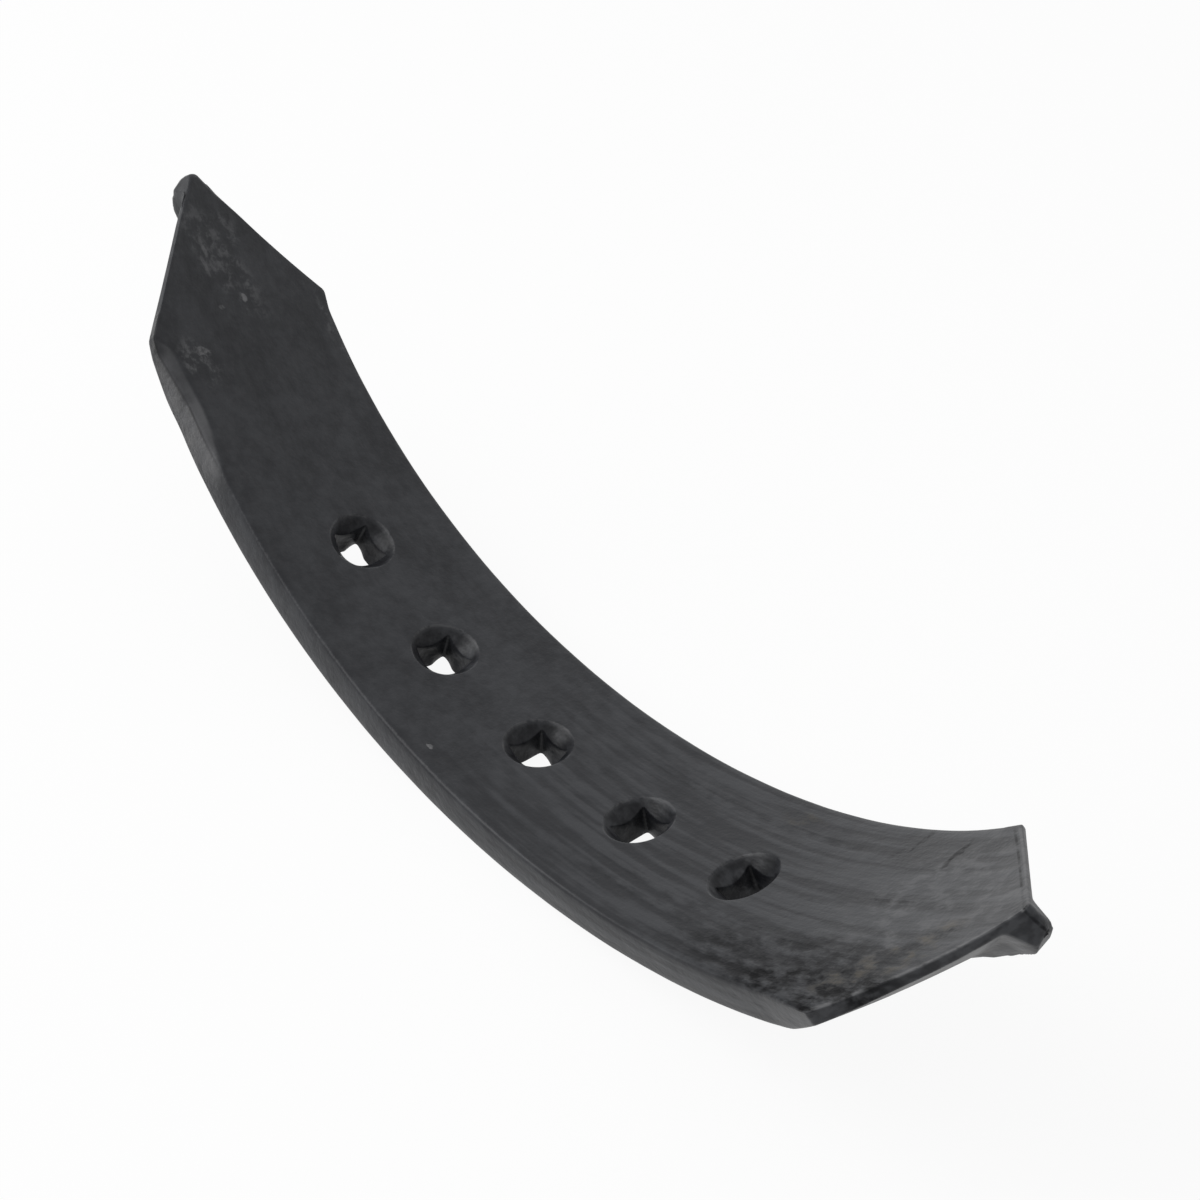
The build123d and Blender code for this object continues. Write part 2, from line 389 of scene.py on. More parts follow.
def blank_rings(bar, point, holes, ends):
    """Closed rings of points round the bar, one for each row of the plan."""
    sides, first_middle, middle_rows, row = plan_rows(bar, point, holes, ends)
    near, near_in, far, far_in = sides
    rows = len(near)
    reach = np.maximum(np.abs(near[:, 0]), np.abs(far[:, 0]))
    shoulder = min(end.near_station for end in ends)
    sharp = eased((reach - shoulder + SHARPEN_RUN / 2) / SHARPEN_RUN)
    front_radius = bar.arris_radius + (point.arris_radius - bar.arris_radius) * sharp
    share = np.linspace(0, 1, COLUMNS + 1)[None, :, None]
    wall = {}
    for name, edge, inward in (("near", near, near_in), ("far", far, far_in)):
        height = thickness(edge[:, 0], edge[:, 1], bar, point, ends)
        radius = np.minimum(front_radius, 0.3 * height)
        if name == "near":
            for hand, end in ((1, ends[0]), (-1, ends[1])):
                before = end.near_station - hand * edge[:, 0]
                worn = eased(before / 0.006) * eased((0.050 - before) / 0.030)
                radius = radius + WORN_ARRIS * worn * (end.corner_wear > 0)
        side = np.sign(edge[:, 0])
        tips = np.where(side > 0, ends[0].reach, ends[1].reach)
        softness = np.where(side < 0, TIP_SOFTNESS[1], TIP_SOFTNESS[0])
        radius = radius + softness * eased((side * edge[:, 0] - tips + TIP_RUN) / 0.014)
        nosed = eased((side * edge[:, 0] - tips + NOSE_RUN) / 0.0040)
        under = radius + (point.nose_radius - radius) * nosed
        inset = np.minimum(under, TIP_SHARE * point.tip_radius)
        wall[name] = (edge, inward, height, radius, under, inset)

    def face(is_back):
        """Front or back face, between the arrises of its two sides."""
        sides = []
        for name in ("near", "far"):
            edge, inward, _, radius, _, inset = wall[name]
            sides.append(edge + inward * (inset if is_back else radius)[:, None])
        plan = sides[0][:, None] * (1 - share) + sides[1][:, None] * share
        depth = np.zeros(plan.shape[:2])
        if is_back:
            depth = thickness(plan[..., 0], plan[..., 1], bar, point, ends)
        return np.concatenate([plan, -depth[..., None]], axis=2)

    def band(name):
        """One side, with its two arrises, from the front face down to the back."""
        edge, inward, height, radius, under, inset = wall[name]
        inner = edge + inward * inset[:, None]
        floor = thickness(inner[:, 0], inner[:, 1], bar, point, ends)
        steps = []
        for k in range(1, ARRIS_STEPS + 1):
            a = pi / 2 * k / ARRIS_STEPS
            steps.append((radius * (1 - sin(a)), radius * (1 - cos(a))))
        wall_steps = BAND - 2 * ARRIS_STEPS
        for k in range(1, wall_steps):
            u = k / wall_steps
            bulge = bar.edge_bulge * 4 * u * (1 - u) * (1 - sharp)
            steps.append((-bulge, radius * (1 - u) + (height - under) * u))
        for k in range(ARRIS_STEPS):
            a = pi / 2 * k / ARRIS_STEPS
            sink = (floor - height) * (1 - cos(a))
            steps.append((inset * (1 - cos(a)), height - under * (1 - sin(a)) + sink))
        columns = [np.c_[edge + inward * step[:, None], -depth] for step, depth in steps]
        return np.stack(columns, axis=1)

    front = face(False)
    back = face(True)[:, ::-1]
    far_band = band("far")
    near_band = band("near")[:, ::-1]
    rings = np.concatenate([front, far_band, back, near_band], axis=1)
    return rings, first_middle + middle_rows, row, far_band.shape[1], rows


def square_reach(angle, half, corner):
    """Distance from the middle of a round-cornered square to its side, at an angle."""
    c, s = np.abs(np.cos(angle)), np.abs(np.sin(angle))
    flat = half / np.maximum(c, s)
    centre = half - corner
    along = centre * (c + s)
    inside = np.maximum(along ** 2 - (2 * centre ** 2 - corner ** 2), 0)
    rounded_reach = along + np.sqrt(inside)
    on_corner = (flat * np.minimum(c, s) > centre)
    return np.where(on_corner, rounded_reach, flat)


def hole_rings(holes, bar, front_rim, back_rim, station):
    """Rings of one hole from the front face's rim down to the back's, round its own middle."""
    count = len(front_rim)
    quarter = count // 4
    f = np.linspace(-1, 1, quarter + 1)[:-1]
    spread = 0.65 * f + 0.35 * np.sin(f * pi / 2)         # crowds towards the square's corners
    angle = np.concatenate([side * pi / 2 + spread * pi / 4 for side in range(4)])
    ray = np.c_[np.cos(angle), np.sin(angle)]

    def ring(reach, depth):
        return np.c_[ray * reach[:, None], -depth]

    def facing(way, breadth, edge):
        """1 on the rays that point this way, in degrees, and 0 on those well off it."""
        turn = np.abs((angle - radians(way) + pi) % (2 * pi) - pi)
        return eased(edge - turn / radians(breadth))

    mouth = np.full(count, holes.head / 2)
    lip = holes.lip
    outer = mouth + lip * tan(pi / 8)
    rings = []
    for k in range(1, FACE_RINGS + 1):
        u = k / FACE_RINGS
        plan = front_rim[:, :2] * (1 - u) + ray * outer[:, None] * u
        rings.append(np.c_[plan, np.zeros(count)])
    for k in range(1, LIP_RINGS + 1):
        a = pi / 4 * k / LIP_RINGS
        rings.append(ring(outer - lip * sin(a), np.full(count, lip * (1 - cos(a)))))
    neck = square_reach(angle, holes.square / 2, holes.corner)
    start = mouth - lip * (sin(pi / 4) - tan(pi / 8))
    soft = 0.00035                # softens the edge between the cone and the neck
    for k in range(1, LIP_RINGS + 1):
        reach = start + (neck + soft - start) * k / LIP_RINGS
        rings.append(ring(reach, mouth - reach))
    rings.append(ring(neck + 0.3 * soft, mouth - neck - 0.1 * soft))
    back_neck = neck - holes.pinch * facing(72, 55, 1.25)
    back_neck -= holes.left_pinch * eased((0.02 - station) / 0.07) * facing(200, 65, 1.3)
    back_lip = 0.0004
    top = mouth - neck + soft
    bottom = bar.thickness - back_lip
    for k in range(NECK_RINGS):
        u = k / (NECK_RINGS - 1)
        reach = neck + (back_neck - neck) * u ** 2
        rings.append(ring(reach, top + (bottom - top) * u))
    for k in range(1, BACK_LIP_RINGS + 1):
        a = pi / 2 * k / BACK_LIP_RINGS
        rings.append(ring(back_neck + back_lip * (1 - cos(a)),
                          np.full(count, bottom + back_lip * sin(a))))
    edge = back_neck + back_lip
    for k in range(1, FACE_RINGS):
        u = k / FACE_RINGS
        plan = ray * edge[:, None] * (1 - u) + back_rim[:, :2] * u
        rings.append(np.c_[plan, np.full(count, -bar.thickness)])
    return rings


def rim_walk(top, bottom, left, right):
    """Grid places round a rectangle, from the corner where hole_rings starts its first quarter."""
    walk = [(right, j) for j in range(bottom, top)]
    walk += [(i, top) for i in range(right, left, -1)]
    walk += [(left, j) for j in range(top, bottom, -1)]
    walk += [(i, bottom) for i in range(left, right)]
    return walk


def blank_mesh(bar, point, holes, ends):
    """The whole blank as a closed mesh, with every hole's walls and lips."""
    rings, middle, row, band_columns, rows = blank_rings(bar, point, holes, ends)
    around = rings.shape[1]
    face_columns = COLUMNS + 1
    back_start = face_columns + band_columns
    verts = [tuple(v) for v in rings.reshape(-1, 3)]
    faces = []
    centre = COLUMNS // 2
    hole_rows = [middle + round((k - (holes.count - 1) / 2) * holes.pitch / row)
                 for k in range(holes.count)]

    def in_patch(i, j):
        inside_row = any(r - PATCH_ROWS <= i < r + PATCH_ROWS for r in hole_rows)
        return inside_row and centre - PATCH_COLUMNS <= j < centre + PATCH_COLUMNS

    def front_id(i, j):
        return i * around + j

    def back_id(i, j):
        return i * around + back_start + COLUMNS - j

    for i in range(rows - 1):
        for c in range(around):
            if c < COLUMNS and in_patch(i, c):
                continue
            if back_start <= c < back_start + COLUMNS:
                if in_patch(i, COLUMNS - 1 - (c - back_start)):
                    continue
            d = (c + 1) % around
            faces.append((i * around + c, (i + 1) * around + c, (i + 1) * around + d, i * around + d))
    for r in hole_rows:
        walk = rim_walk(centre + PATCH_COLUMNS, centre - PATCH_COLUMNS, r - PATCH_ROWS, r + PATCH_ROWS)
        front = [front_id(i, j) for i, j in walk]
        back = [back_id(i, j) for i, j in walk]
        station = (r - middle) * row
        shift = np.array((station, 0, 0))
        front_rim = np.array([verts[v] for v in front]) - shift
        back_rim = np.array([verts[v] for v in back]) - shift
        loops = [front]
        for ring in hole_rings(holes, bar, front_rim, back_rim, station):
            loops.append(list(range(len(verts), len(verts) + len(ring))))
            verts.extend(tuple(v) for v in ring + shift)
        loops.append(back)
        for upper, lower in zip(loops, loops[1:]):
            for k in range(len(upper)):
                n = (k + 1) % len(upper)
                faces.append((upper[k], lower[k], lower[n], upper[n]))
    mesh = bpy.data.meshes.new("blank")
    mesh.from_pydata(verts, [], faces)
    work = bmesh.new()
    work.from_mesh(mesh)
    bmesh.ops.remove_doubles(work, verts=work.verts, dist=MERGE_DISTANCE)
    loose = [v for v in work.verts if not v.link_faces]
    bmesh.ops.delete(work, geom=loose, context="VERTS")
    bmesh.ops.recalc_face_normals(work, faces=work.faces)
    if work.calc_volume(signed=True) < 0:
        bmesh.ops.reverse_faces(work, faces=work.faces)
    work.to_mesh(mesh)
    work.free()
    return mesh


# Marks that the photograph shows, each with its place, half sizes, turn and strength in the plan
SCUFFS = (
    ((0.222, 0.012), (0.062, 0.034), 0.25, 0.30),
    ((0.196, 0.022), (0.016, 0.010), 0.3, 0.35),
    ((-0.236, -0.003), (0.030, 0.010), 0.45, 0.30),
    ((-0.246, 0.003), (0.010, 0.008), 0.0, 0.26),
    ((-0.198, -0.029), (0.012, 0.008), 0.5, 0.40),
    ((-0.203, 0.039), (0.022, 0.005), 0.0, 0.25),
)
FLECKS = (
    ((-0.2401, -0.0090), (0.0030, 0.0012), 0.2, 0.5),
    ((-0.2345, -0.0110), (0.0065, 0.0012), 0.1, 0.4),
    ((-0.2201, 0.0022), (0.0018, 0.0015), 0.0, 0.8),
    ((-0.2177, -0.0100), (0.0020, 0.0013), 0.3, 0.5),
    ((-0.2020, -0.0262), (0.0016, 0.0040), -0.3, 0.8),
    ((-0.0749, -0.0187), (0.0010, 0.0008), 0.0, 0.7),
    ((-0.0200, -0.0324), (0.0018, 0.0011), 0.4, 0.8),
    ((0.2310, -0.0071), (0.0034, 0.0010), 0.5, 0.9),
    ((0.2230, -0.0095), (0.0026, 0.0009), 0.5, 0.6),
)
STAINS_AND_SHADE = (
    ((0.1935, 0.0270), (0.0017, 0.0090), -0.2, 0.9),
    ((0.1680, 0.0330), (0.0016, 0.0065), -0.1, 0.7),
    ((0.1612, 0.0250), (0.0017, 0.0060), -0.6, 0.6),
    ((0.1820, 0.0056), (0.0200, 0.0009), 0.04, 0.6),
    # painted shade: these four darken the right end's near corner and the front face along its near V
    # edge
    ((0.1985, -0.0390), (0.0090, 0.0060), 0.0, 1.0),
    ((0.1880, -0.0330), (0.0500, 0.0110), 0.1, 0.95),
    ((0.1700, -0.0260), (0.0650, 0.0150), 0.1, 0.70),
    ((0.2200, -0.0130), (0.0260, 0.0050), 0.55, 0.6),
    ((0.1350, -0.0180), (0.0800, 0.0022), 0.03, 0.35),
    ((0.1250, -0.0245), (0.0900, 0.0020), 0.02, 0.35),
    ((0.1000, 0.0250), (0.0800, 0.0022), 0.02, 0.3),
)
BLOOMS = (
    ((0.222, -0.014), (0.022, 0.010), 0.6, 0.7),
    ((0.203, -0.025), (0.018, 0.009), 0.5, 0.6),
    ((0.108, 0.031), (0.012, 0.005), 0.0, 0.3),
)


# Rolling: the blank is bent and twisted along the helix by geometry nodes

class Nodes:
    """Short hand for adding and joining the nodes of one tree."""

    def __init__(self, tree):
        self.tree = tree

    def add(self, kind, values=None, **settings):
        node = self.tree.nodes.new(kind)
        for name, value in settings.items():
            setattr(node, name, value)
        for key, value in (values or {}).items():
            if isinstance(value, bpy.types.NodeSocket):
                self.tree.links.new(value, node.inputs[key])
            else:
                node.inputs[key].default_value = value
        return node

    def math(self, operation, a, b=0.0):
        return self.add("ShaderNodeMath", {0: a, 1: b}, operation=operation).outputs[0]

    def plus(self, a, b):
        return self.math("ADD", a, b)

    def minus(self, a, b):
        return self.math("SUBTRACT", a, b)

    def times(self, a, b):
        return self.math("MULTIPLY", a, b)

    def over(self, a, b):
        return self.math("DIVIDE", a, b)

    def larger(self, a, b):
        return self.math("MAXIMUM", a, b)

    def step(self, value, first, last):
        """0 before first and 1 after last, smooth between them."""
        return self.add("ShaderNodeMapRange", {0: value, 1: first, 2: last},
                        interpolation_type="SMOOTHSTEP").outputs[0]

    def noise(self, vector, scale, detail, roughness):
        return self.add("ShaderNodeTexNoise", {"Vector": vector, "Scale": scale, "Detail": detail,
                                               "Roughness": roughness}).outputs[0]

    def mixed(self, share, first, second):
        return self.add("ShaderNodeMix", {0: share, 6: first, 7: second}, data_type="RGBA").outputs[2]

    def combine(self, x, y, z):
        return self.add("ShaderNodeCombineXYZ", {0: x, 1: y, 2: z}).outputs[0]

    def separate(self, vector):
        return self.add("ShaderNodeSeparateXYZ", {0: vector}).outputs

    def vector(self, operation, a, b):
        return self.add("ShaderNodeVectorMath", {0: a, 1: b}, operation=operation).outputs[0]

    def scaled(self, vector, factor):
        return self.add("ShaderNodeVectorMath", {0: vector, "Scale": factor},
                        operation="SCALE").outputs[0]


def empty_nodes(holder):
    """The cleared node tree of a material or a world."""
    holder.use_nodes = True
    holder.node_tree.nodes.clear()
    return Nodes(holder.node_tree)


def rolling_tree(steel):
    """Geometry nodes that keep the blank's coordinates, sink its relief and roll it."""
    tree = bpy.data.node_groups.new("roll_along_helix", "GeometryNodeTree")
    face = tree.interface
    face.new_socket("Geometry", in_out="INPUT", socket_type="NodeSocketGeometry")
    for name in ("Thickness", "Bend Radius", "Twist per Metre", "Relief"):
        face.new_socket(name, in_out="INPUT", socket_type="NodeSocketFloat")
    face.new_socket("Geometry", in_out="OUTPUT", socket_type="NodeSocketGeometry")
    n = Nodes(tree)
    given = n.add("NodeGroupInput").outputs
    thickness_in, radius, twist = given["Thickness"], given["Bend Radius"], given["Twist per Metre"]
    blank = n.add("GeometryNodeInputPosition").outputs[0]
    stored = n.add("GeometryNodeStoreNamedAttribute",
                   {"Geometry": given["Geometry"], "Name": "blank", "Value": blank},
                   data_type="FLOAT_VECTOR", domain="POINT")
    # relief of the forged surface, always inwards
    swell = n.noise(blank, 38.0, 3.0, 0.55)
    grain = n.noise(n.vector("MULTIPLY", blank, (0.35, 1.0, 1.0)), 210.0, 2.0, 0.5)
    depth = n.plus(n.times(swell, 0.8), n.times(grain, 0.2))
    depth = n.times(depth, given["Relief"])
    normal = n.add("GeometryNodeInputNormal").outputs[0]
    sunk = n.add("GeometryNodeSetPosition",
                 {"Geometry": stored.outputs[0],
                  "Offset": n.scaled(normal, n.times(depth, -1.0))})
    place = n.add("GeometryNodeInputPosition").outputs[0]
    along, across, height = n.separate(place)[:3]
    depth_here = n.times(height, -1.0)
    curvature = n.over(1.0, radius)
    turn = n.math("SQRT", n.plus(n.math("POWER", curvature, 2.0), n.math("POWER", twist, 2.0)))
    lean = n.over(twist, turn)
    helix_radius = n.over(curvature, n.math("POWER", turn, 2.0))
    axis = n.scaled(n.combine(twist, n.times(curvature, -1.0), 0.0),
                    n.over(1.0, turn))
    lean_squared = n.math("POWER", lean, 2.0)
    front_rise = n.over(lean_squared, helix_radius)
    back_rise = n.over(lean_squared, n.plus(helix_radius, thickness_in))
    share = n.over(depth_here, thickness_in)
    rise = n.plus(front_rise, n.times(share, n.minus(back_rise, front_rise)))
    sag = n.times(n.times(n.math("POWER", across, 2.0), 0.5), rise)
    below = n.minus(n.plus(depth_here, helix_radius), sag)
    arm = n.combine(0.0, across, n.times(below, -1.0))
    swung = n.add("ShaderNodeVectorRotate",
                  {"Vector": arm, "Axis": axis, "Angle": n.times(turn, along)},
                  rotation_type="AXIS_ANGLE").outputs[0]
    slid = n.scaled(axis, n.times(lean, along))
    lifted = n.combine(0.0, 0.0, n.plus(helix_radius, thickness_in))
    rolled = n.add("GeometryNodeSetPosition",
                   {"Geometry": sunk.outputs[0],
                    "Position": n.vector("ADD", n.vector("ADD", swung, slid), lifted)})
    smooth = n.add("GeometryNodeSetShadeSmooth", {"Geometry": rolled.outputs[0]})
    real = n.add("GeometryNodeRealizeInstances", {"Geometry": smooth.outputs[0]})
    finished = n.add("GeometryNodeSetMaterial", {"Geometry": real.outputs[0], "Material": steel})
    n.add("NodeGroupOutput", {0: finished.outputs[0]})
    return tree


def set_inputs(modifier, values):
    """Sets a modifier's inputs by the socket's identifier."""
    for item in modifier.node_group.interface.items_tree:
        if item.item_type == "SOCKET" and item.in_out == "INPUT" and item.name in values:
            modifier[item.identifier] = values[item.name]


def end_shift(along, across, bar, ends):
    """How far the blows at each end sank the bar below its rolled line, at points of the plan."""
    shift = np.zeros(np.shape(along))
    for side, end in ((1, ends[0]), (-1, ends[1])):
        shoulder = (end.near_station + end.far_station) / 2
        u = (side * along - shoulder) / (end.reach - shoulder)
        near_share = np.clip(0.5 - across / bar.width, -0.05, 1.05)
        sunk = end.near_sink * near_share + end.far_sink * (1 - near_share)
        lift = end.near_lift * near_share + end.far_lift * (1 - near_share)
        out = np.clip(u, 0, 1.1)
        before = sunk * eased(1 + u / 1.5)
        beyond = sunk * (1 - out) + end.droop * out - lift * 4 * out * (1 - out)
        shift += np.where(side * along > 0, np.where(u > 0, beyond, before), 0)
    return shift


FACET_LENGTH = 0.075          # how far behind the shoulder the worn facet reaches
FACET_FADE = 0.045            # length over which it narrows to nothing
FACET_SLOPE = 0.42            # its fall towards the arris
FACET_DEPTH = 0.0135          # depth of the side at which the wear has faded out
FLARE_SLOPE = 0.13            # of the flared side, which the facet follows


def corner_facet(co, end):
    """How far the left end's front face is worn down towards its near arris, behind the shoulder."""
    before = end.near_station + co[:, 0]
    fade = eased((FACET_LENGTH - before) / FACET_FADE)
    breadth = end.corner_wear * eased((before + 0.001) / 0.008) * fade
    inset = co[:, 1] + end.near_half - FLARE_SLOPE * np.clip(before, 0, end.near_flare)
    upper = np.clip(1 + co[:, 2] / FACET_DEPTH, 0, 1)
    worn = np.maximum(breadth - np.maximum(inset, 0), 0) * (inset < breadth)
    return worn * FACET_SLOPE * upper


def add_marks(mesh, bar, ends):
    """Presses each end's blows into the blank, and keeps its depth and wear for the finish."""
    count = len(mesh.vertices)
    co = np.zeros(count * 3)
    mesh.vertices.foreach_get("co", co)
    co = co.reshape(-1, 3)
    mesh.attributes.new("depth", "FLOAT", "POINT").data.foreach_set("value", -co[:, 2])
    wear = corner_facet(co, ends[1])
    co[:, 2] -= end_shift(co[:, 0], co[:, 1], bar, ends) + wear
    mesh.attributes.new("wear", "FLOAT", "POINT").data.foreach_set("value", wear)
    mesh.vertices.foreach_set("co", co.ravel())


def placed(scene, name, data):
    """A new object of the scene."""
    result = bpy.data.objects.new(name, data)
    scene.collection.objects.link(result)
    return result


def make_point(scene):
    """The finished bar: blank, blows and rolling, as one plain mesh."""
    bar, point, holes = scene.plow_bar, scene.plow_v, scene.plow_holes
    ends = scene.plow_right_end, scene.plow_left_end
    mesh = blank_mesh(bar, point, holes, ends)
    add_marks(mesh, bar, ends)
    blank = placed(scene, "blank", mesh)
    steel = steel_material(scene.plow_finish, bar, holes, ends)
    roll = blank.modifiers.new("roll", "NODES")
    roll.node_group = rolling_tree(steel)
    set_inputs(roll, {"Thickness": bar.thickness, "Bend Radius": bar.bend_radius,
                      "Twist per Metre": bar.twist_per_metre, "Relief": bar.relief})
    shaped = blank.evaluated_get(bpy.context.evaluated_depsgraph_get())
    result = bpy.data.meshes.new_from_object(shaped)
    result.name = "forged_plow_point"
    bpy.data.objects.remove(blank)
    return placed(scene, "forged_plow_point", result)


# Finish

SPECK_RELIEF = 0.00004        # height of the finest grain
MOTTLE_RELIEF = 0.00036       # of the mottled scale
CUT_RELIEF = 0.0012           # what the cut side adds to that
STREAK_RELIEF = 0.00022       # of the rolling streaks


def spot(n, blank, place, size, turn, strength):
    """Soft elliptical patch on the blank; its place, half sizes and turn are in the plan."""
    framed = n.add("ShaderNodeMapping", {"Vector": blank, "Location": (*place, 0.0),
                                         "Rotation": (0.0, 0.0, turn), "Scale": (*size, 1.0)},
                   vector_type="TEXTURE").outputs[0]
    inside = n.add("ShaderNodeTexGradient", {"Vector": framed}, gradient_type="SPHERICAL").outputs[1]
    return n.add("ShaderNodeMapRange", {0: inside, 1: 0.0, 2: 0.4, 4: strength}).outputs[0]


def strongest(n, masks):
    """The largest of several masks."""
    result = masks[0]
    for mask in masks[1:]:
        result = n.larger(result, mask)
    return result


def line(n, blank, start, end, inset, breadth):
    """Thin line beside an edge of the plan, inset to its left as seen from start to end."""
    way = Vector(end) - Vector(start)
    turn = atan2(way.y, way.x)
    framed = n.add("ShaderNodeMapping", {"Vector": blank, "Location": (*start, 0.0),
                                         "Rotation": (0.0, 0.0, turn)},
                   vector_type="TEXTURE").outputs[0]
    place, offset = n.separate(framed)[:2]
    apart = n.math("ABSOLUTE", n.minus(offset, inset))
    within = n.times(n.step(place, -0.002, 0.003),
                     n.step(place, way.length + 0.002, way.length - 0.003))
    return n.times(n.step(apart, breadth, breadth * 0.3), within)


def steel_material(finish, bar, holes, ends):
    """Dark forge scale on steel, streaked along the bar and scuffed, with painted highlights on its V
    edges and hole rims and painted shade at its right end and inside the holes.
    """
    material = bpy.data.materials.new("forged_steel")
    n = empty_nodes(material)
    blank = n.add("ShaderNodeAttribute", attribute_name="blank").outputs["Vector"]
    along, across = n.separate(blank)[:2]
    depth = n.add("ShaderNodeAttribute", attribute_name="depth").outputs["Fac"]
    height = n.times(depth, -1.0)
    wear = n.add("ShaderNodeAttribute", attribute_name="wear").outputs["Fac"]
    right = ends[0]
    near_corner = (right.near_station, -right.near_half)
    far_corner = (right.far_station, right.far_half)
    tip = (right.reach, right.offset)

    # forge scale: clouds and mottling, and rolling streaks that show towards the right end
    clouds = n.noise(n.vector("MULTIPLY", blank, (0.6, 1.0, 1.0)), 45.0, 3.0, 0.65)
    drawn = n.minus(along, n.times(n.larger(along, 0.0), 0.5))
    mottle = n.noise(n.combine(drawn, across, height), 190.0, 3.0, 0.65)
    specks = n.noise(blank, 900.0, 1.0, 0.5)
    streaks = n.noise(n.vector("MULTIPLY", blank, (8.0, 240.0, 240.0)), 1.0, 2.0, 0.6)
    streaked = n.step(along, -0.05, 0.10)
    tone = n.plus(n.times(clouds, 0.50), n.times(mottle, 0.35))
    tone = n.plus(tone, n.times(n.minus(streaks, 0.5), n.times(streaked, 1.4)))
    colour = n.mixed(n.step(tone, 0.28, 0.58), (*finish.scale_dark, 1), (*finish.scale_light, 1))

    # coarser and paler where the near side was cut at the left end
    side_face = n.times(n.step(across, 0.0015 - bar.width / 2, 0.0002 - bar.width / 2),
                        n.step(height, -0.0002, -0.0010))
    cut_side = n.times(side_face, n.step(along, -0.14, -0.175))
    on_face = n.minus(1.0, n.times(side_face, 0.8))
    crust = n.plus(n.times(n.step(mottle, 0.42, 0.60), 0.5), 0.25)
    colour = n.mixed(n.times(cut_side, crust), colour, (*finish.crust, 1))

    # marks have ragged outlines: their places are read from a slightly stirred blank
    stir = n.add("ShaderNodeTexNoise", {"Vector": blank, "Scale": 330.0, "Detail": 2.0}).outputs[1]
    stir = n.vector("SUBTRACT", stir, (0.5, 0.5, 0.5))
    stirred = n.vector("ADD", blank, n.vector("MULTIPLY", stir, (0.006, 0.0028, 0.0)))

    # scuffs, flecks and the worn facet, broken up by the mottling
    broken = n.step(mottle, 0.46, 0.66)
    scuffs = strongest(n, [spot(n, stirred, *scuff) for scuff in SCUFFS])
    scuffs = n.times(scuffs, broken)
    flecks = strongest(n, [spot(n, stirred, *fleck) for fleck in FLECKS])
    flecks = n.times(flecks, n.step(mottle, 0.3, 0.6))
    facet = n.times(n.step(wear, 0.00002, 0.0006), n.step(clouds, 0.30, 0.62))
    scuffs = strongest(n, [scuffs, flecks, n.times(facet, 0.42)])

    # at the right end: painted highlights in the colour of rubbed steel, a line along the near V edge
    # and a strip along the far one
    near_edge_highlight = line(n, blank, near_corner, tip, inset=0.0012, breadth=0.0013)
    near_edge_highlight = n.times(near_edge_highlight, n.step(mottle, 0.36, 0.62))
    far_edge_highlight = n.times(line(n, blank, tip, far_corner, inset=0.0006, breadth=0.0010), 0.35)
    highlighted = n.larger(n.times(near_edge_highlight, 0.45), far_edge_highlight)
    highlighted = n.times(highlighted, n.step(height, -0.0008, -0.0003))

    # holes: painted highlight in the colour of rubbed steel round the rims, and painted shade inside
    nearest = n.math("ROUND", n.over(along, holes.pitch))
    wrapped = n.minus(along, n.times(nearest, holes.pitch))
    beside = n.plus(n.math("POWER", wrapped, 2.0), n.math("POWER", across, 2.0))
    beside = n.math("SQRT", beside)
    in_row = n.step(n.math("ABSOLUTE", along), holes.pitch * 2.45, holes.pitch * 2.4)
    mouth = holes.head / 2
    rim_highlight = n.step(n.math("ABSOLUTE", n.minus(beside, mouth - 0.0002)), 0.0006, 0.0002)
    rim_highlight = n.times(n.times(rim_highlight, in_row), n.step(mottle, 0.40, 0.60))
    highlighted = n.larger(highlighted, n.times(rim_highlight, 0.22))
    colour = n.mixed(n.larger(scuffs, highlighted), colour, (*finish.worn, 1))
    hole_shade = n.times(n.step(beside, mouth - 0.0006, mouth - 0.0016), in_row)
    hole_shade = n.times(hole_shade, n.step(mottle, 0.75, 0.35))

    # rust bloom
    rust = strongest(n, [spot(n, stirred, *bloom) for bloom in BLOOMS])
    colour = n.mixed(n.times(rust, broken), colour, (*finish.rust, 1))

    # dark nicks and stains, and painted shade: at the right end's near corner and along its near V
    # edge, in a line inside the far V edge where a groove is shaded, and inside the holes
    stains_and_shade = [n.times(line(n, blank, tip, far_corner, inset=0.0024, breadth=0.0007), 0.8)]
    stains_and_shade += [spot(n, stirred, *stain_and_shade) for stain_and_shade in STAINS_AND_SHADE]
    stains_and_shade = n.times(strongest(n, stains_and_shade), n.step(mottle, 0.68, 0.36))
    stains_and_shade = n.larger(n.times(stains_and_shade, on_face), n.times(hole_shade, 0.5))
    colour = n.mixed(stains_and_shade, colour, (*finish.stain_and_shade, 1))

    # the stains and the painted shade also take away sheen
    sheen = n.times(n.minus(1.0, n.times(stains_and_shade, 0.85)), finish.specular)
    rough = n.plus(n.times(clouds, 0.16), finish.roughness - 0.08)
    rough = n.plus(rough, n.times(scuffs, 0.15))
    relief = n.plus(n.times(specks, SPECK_RELIEF), n.times(mottle, MOTTLE_RELIEF))
    relief = n.plus(relief, n.times(n.times(mottle, cut_side), CUT_RELIEF))
    relief = n.plus(relief, n.times(n.times(streaks, streaked), n.times(on_face, STREAK_RELIEF)))
    bump = n.add("ShaderNodeBump", {"Height": relief, "Strength": 1.0, "Distance": 1.0})
    shader = n.add("ShaderNodeBsdfPrincipled",
                   {"Base Color": colour, "IOR": 1.5, "Specular IOR Level": sheen,
                    "Roughness": rough, "Normal": bump.outputs[0]})
    n.add("ShaderNodeOutputMaterial", {0: shader.outputs[0]})
    return material


# Stage

